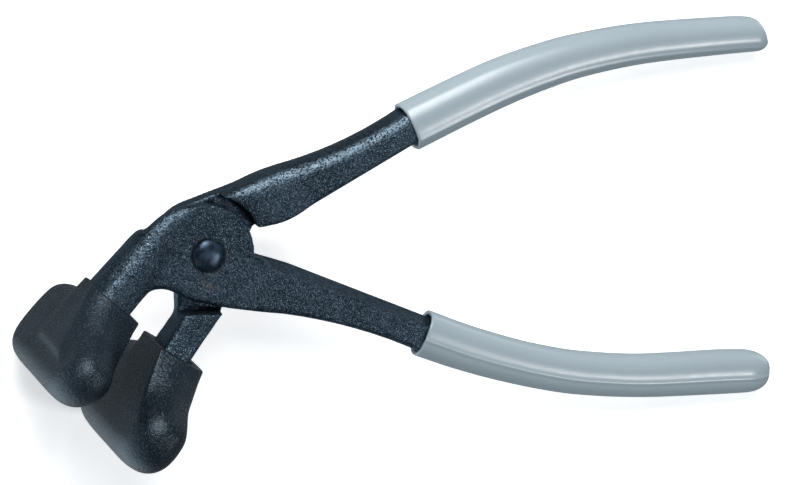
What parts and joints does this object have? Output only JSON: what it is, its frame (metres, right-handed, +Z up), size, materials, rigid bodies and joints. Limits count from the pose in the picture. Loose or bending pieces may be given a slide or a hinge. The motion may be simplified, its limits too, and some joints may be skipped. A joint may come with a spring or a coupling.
{
  "type": "soft-jaw pliers",
  "caption": "Hand pliers with a half-lap rivet joint, wide T-shaped jaws turned down in moulded rubber boots, and dipped vinyl grips on the handles.",
  "frame": {"origin": "centre of the bounding box's footprint on the surface the tool lies on", "axes": "+X from the jaws to the handle ends, +Y from the front lever's handle to the rear lever's handle, +Z up off the surface; the rivet leans 7.4 degrees from +Z towards +X because the wide jaws hold that end of the tool up"},
  "size_m": [0.2234, 0.115, 0.0638],
  "materials": {
    "forged_steel": "drop-forged carbon steel, blackened and oiled, pebbled skin",
    "rivet_steel": "blackened steel, polished dome",
    "black_rubber": "satin moulded rubber",
    "grey_vinyl": "dipped soft vinyl, half gloss"
  },
  "bodies": {
    "front_half": {"front_lever": "forged_steel", "pivot_rivet": "rivet_steel", "front_jaw_boot": "black_rubber", "front_grip": "grey_vinyl"},
    "rear_half": {"rear_lever": "forged_steel", "rear_jaw_boot": "black_rubber", "rear_grip": "grey_vinyl"}
  },
  "joints": [
    {"name": "pivot", "type": "hinge", "parent": "front_half", "child": "rear_half", "pos_m": [-0.06171, 0.00069, 0.02819], "axis": [0.129, 0, 0.9916], "range_deg": [-13.5, 6]}
  ]
}
